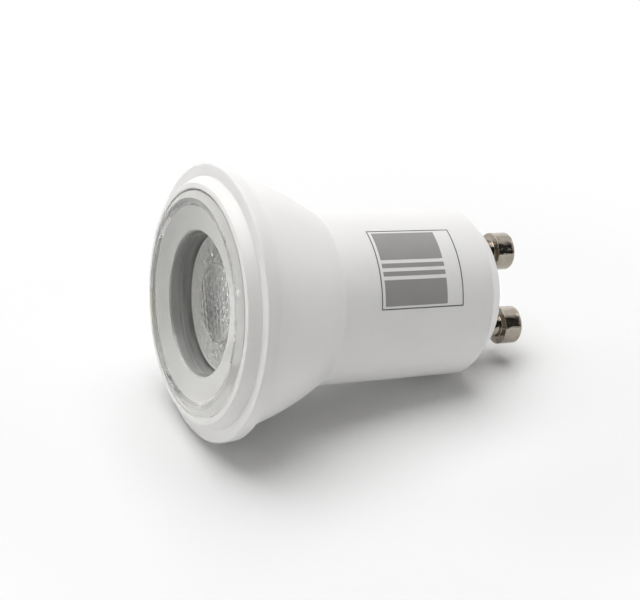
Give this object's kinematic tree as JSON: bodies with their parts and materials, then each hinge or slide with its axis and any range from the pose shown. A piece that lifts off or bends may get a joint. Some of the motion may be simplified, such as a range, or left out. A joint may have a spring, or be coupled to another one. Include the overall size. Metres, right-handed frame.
{
  "type": "gu10 spotlight bulb",
  "caption": "Small LED reflector lamp with a twist-lock two-pin base, flared white shell, bezel ring and clear collimator lens, with its driver inside.",
  "frame": {"origin": "centre of the plane that the lens's front edge stands on", "axes": "+Z along the lamp's axis towards the pins; the two pins lie in line along Y"},
  "size_m": [0.035, 0.035, 0.0469],
  "materials": {
    "white_shell": "semi-gloss moulded, white",
    "clear_lens": "polished clear acrylic",
    "nickel": "turned brass, nickel plated",
    "spun_aluminium": "spun, satin",
    "grey_silicone": "soft, matt",
    "led_board_white": "white solder mask",
    "phosphor": "silicone with phosphor",
    "zinc_screw": "zinc plated",
    "red_sleeve": "silicone sleeve",
    "black_sleeve": "silicone sleeve",
    "white_sleeve": "silicone sleeve",
    "green_board": "green solder mask",
    "yellow_case": "moulded case",
    "can_sleeve": "shrunk sleeve",
    "ferrite": "pressed ferrite",
    "copper_wire": "enamelled copper",
    "black_epoxy": "moulded epoxy",
    "resistor_coat": "cement coat",
    "chip_ceramic": "ceramic, glazed"
  },
  "bodies": {
    "root": {"body_shell": "white_shell", "front_ring": "white_shell", "base_cap": "white_shell", "lens": "clear_lens", "pin_left": "nickel", "pin_right": "nickel", "heat_sink": "spun_aluminium", "thermal_pad": "grey_silicone", "led_board": "led_board_white", "led_emitter": "phosphor", "board_screws": "zinc_screw", "led_wire_red": "red_sleeve", "led_wire_black": "black_sleeve", "pin_wire_left": "white_sleeve", "pin_wire_right": "white_sleeve", "driver_board": "green_board", "input_capacitor": "yellow_case", "output_capacitor": "can_sleeve", "inductor_core": "ferrite", "inductor_winding": "copper_wire", "bridge_rectifier": "black_epoxy", "driver_chip": "black_epoxy", "fusible_resistor": "resistor_coat", "chip_resistors": "chip_ceramic"}
  },
  "joints": []
}
